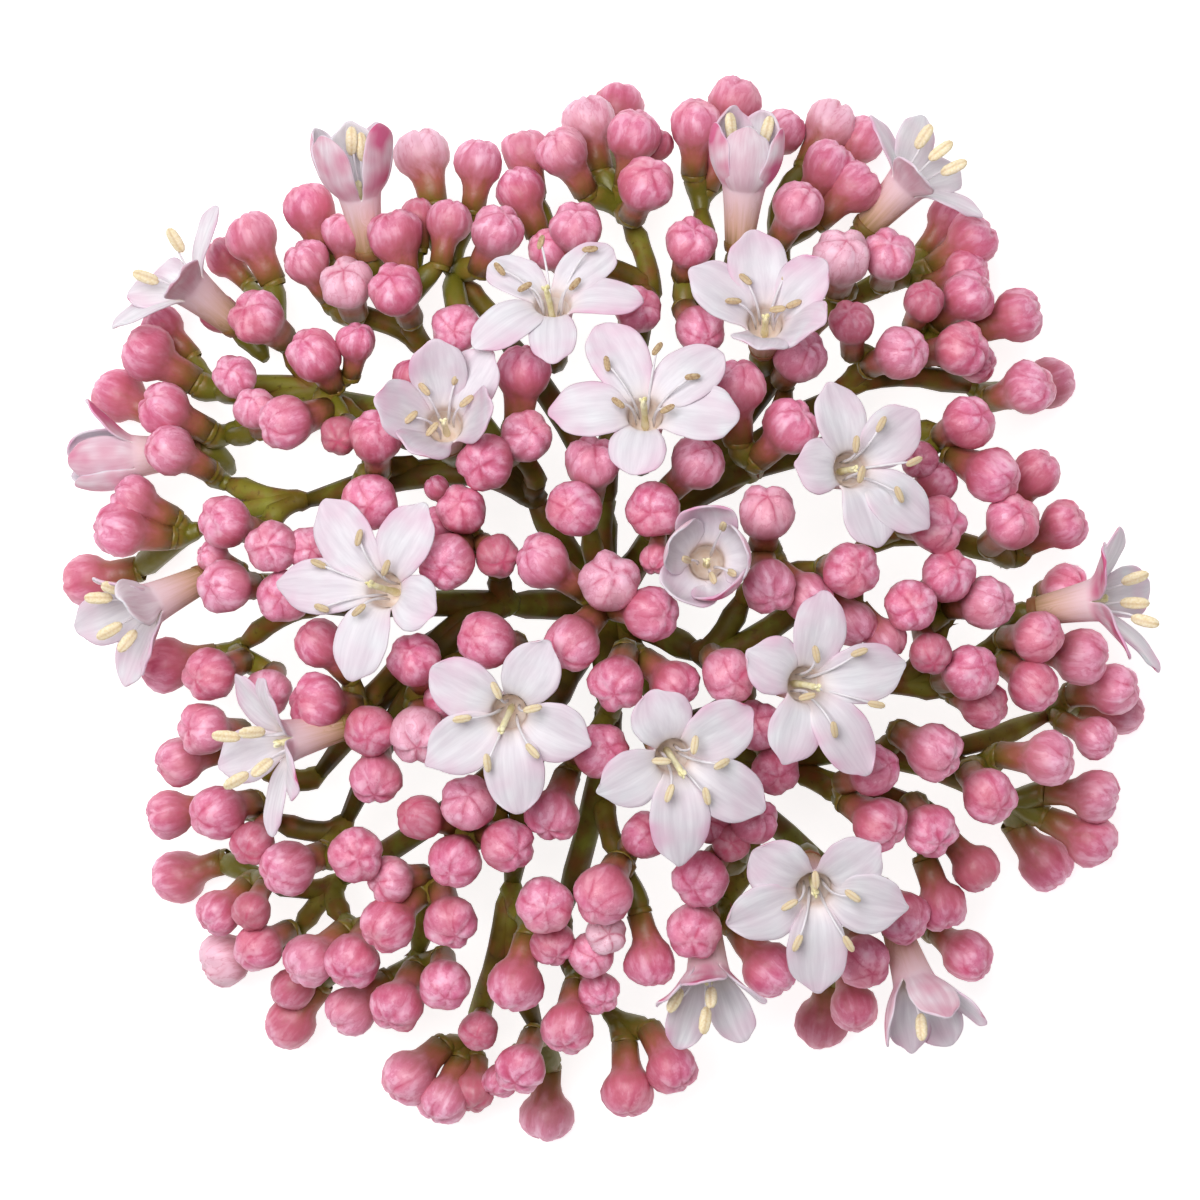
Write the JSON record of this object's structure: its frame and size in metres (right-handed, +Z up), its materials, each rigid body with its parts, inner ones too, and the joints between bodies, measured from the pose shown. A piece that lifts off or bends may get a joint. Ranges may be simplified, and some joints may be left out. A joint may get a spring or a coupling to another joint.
{
  "type": "laurustinus flower head",
  "caption": "Domed flower head cut from an evergreen shrub: small open flowers with stamens among tight round buds on branching green stalks, lying face up.",
  "frame": {"origin": "middle of the footprint, on the surface that the head lies on", "axes": "+Z up out of the dome's crown, towards the viewer of the picture; +X to the picture's right; +Y to the picture's top"},
  "size_m": [0.0555, 0.0538, 0.0236],
  "materials": {
    "stem": "satin",
    "petal": "satin",
    "bud": "satin"
  },
  "bodies": {
    "root": {"rays": "stem", "flower_north": "petal", "flower_north_east": "petal", "flower_crown_north": "petal", "flower_north_west": "petal", "flower_west": "petal", "flower_east": "petal", "flower_south_west": "petal", "flower_south": "petal", "flower_crown_east": "petal", "flower_south_east": "petal", "flower_crown_half_open": "petal", "flower_rim_north_west": "petal", "flower_rim_north_east": "petal", "flower_rim_west": "petal", "flower_rim_south_west": "petal", "flower_rim_east": "petal", "flower_rim_south": "petal", "flower_rim_south_east": "petal", "half_open_north_west": "petal", "half_open_north_east": "petal", "half_open_west": "petal", "spray_crown": "bud", "spray_crown_north_east": "bud", "spray_crown_east": "bud", "spray_crown_south": "bud", "spray_crown_south_east": "bud", "spray_crown_west": "bud", "spray_crown_north_west": "bud", "spray_crown_south_west": "bud", "spray_west_inner": "bud", "spray_west_mid": "bud", "spray_west_rim": "bud", "spray_north_west_mid": "bud", "spray_north_west_inner": "bud", "spray_north_west_rim": "bud", "spray_north_north_west": "bud", "spray_north_mid": "bud", "spray_north_rim": "bud", "spray_north_north_east": "bud", "spray_north_east_inner": "bud", "spray_north_east_mid": "bud", "spray_north_east_rim": "bud", "spray_east_north_east": "bud", "spray_east_mid": "bud", "spray_east_rim": "bud", "spray_east_south_east": "bud", "spray_south_east_mid": "bud", "spray_south_east_rim": "bud", "spray_south_south_east": "bud", "spray_south_mid": "bud", "spray_south_rim": "bud", "spray_south_south_west": "bud", "spray_south_west_inner": "bud", "spray_south_west_mid": "bud", "spray_west_south_west": "bud", "spray_south_west_rim": "bud", "spray_west_rim_low": "bud"}
  },
  "joints": []
}
